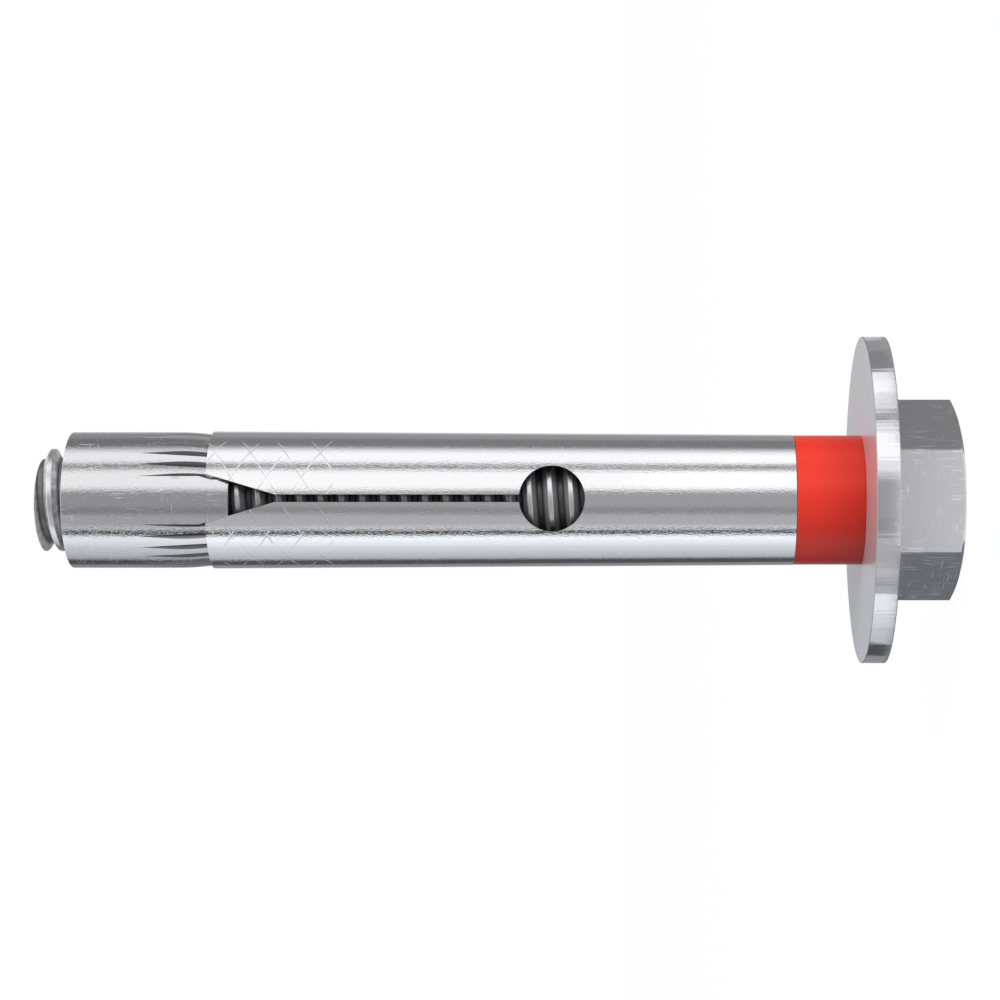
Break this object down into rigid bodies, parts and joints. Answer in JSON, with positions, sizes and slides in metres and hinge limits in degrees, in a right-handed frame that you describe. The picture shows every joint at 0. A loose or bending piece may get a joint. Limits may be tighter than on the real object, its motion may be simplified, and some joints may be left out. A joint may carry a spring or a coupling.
{
  "type": "sleeve anchor",
  "caption": "Sleeve anchor: hex bolt, washer, crushable plastic ring, slotted expansion sleeve and fluted cone nut, for through-fixing into a drilled hole.",
  "frame": {"origin": "centre of the bolt head's end face, which the anchor stands on", "axes": "+Z along the bolt from its head to its tip; -Y is the front, which one flat of the head, one sleeve slot and one key of the nut face"},
  "size_m": [0.024, 0.024, 0.0672],
  "materials": {
    "bolt_zinc": "bright zinc plating over a forged and rolled surface, with fine handling scratches",
    "washer_zinc": "bright zinc plating, nearly a mirror",
    "red_plastic": "satin moulded plastic",
    "sleeve_zinc": "bright zinc plating on rolled strip, with fine marks along its length",
    "nut_zinc": "bright zinc plating over a turned surface"
  },
  "bodies": {
    "bolt": {"hex_bolt": "bolt_zinc"},
    "washer": {"washer": "washer_zinc"},
    "ring": {"spacer_ring": "red_plastic"},
    "sleeve": {"expansion_sleeve": "sleeve_zinc"},
    "nut": {"cone_nut": "nut_zinc"}
  },
  "joints": [
    {"name": "washer_spin", "type": "hinge", "parent": "bolt", "child": "washer", "pos_m": [0, 0, 0.00625], "axis": [0, 0, 1], "continuous": true},
    {"name": "ring_spin", "type": "hinge", "parent": "bolt", "child": "ring", "pos_m": [0, 0, 0.0096], "axis": [0, 0, 1], "continuous": true},
    {"name": "sleeve_turn", "type": "hinge", "parent": "bolt", "child": "sleeve", "pos_m": [0, 0, 0.0333], "axis": [0, 0, 1], "range_deg": [0, 2880]},
    {"name": "nut_travel", "type": "slide", "parent": "sleeve", "child": "nut", "axis": [0, 0, 1], "range_m": [0, 0.01208]}
  ],
  "couplings": [
    {"joint": "nut_travel", "follows": "sleeve_turn", "m_per_rad": 0.00024032}
  ]
}
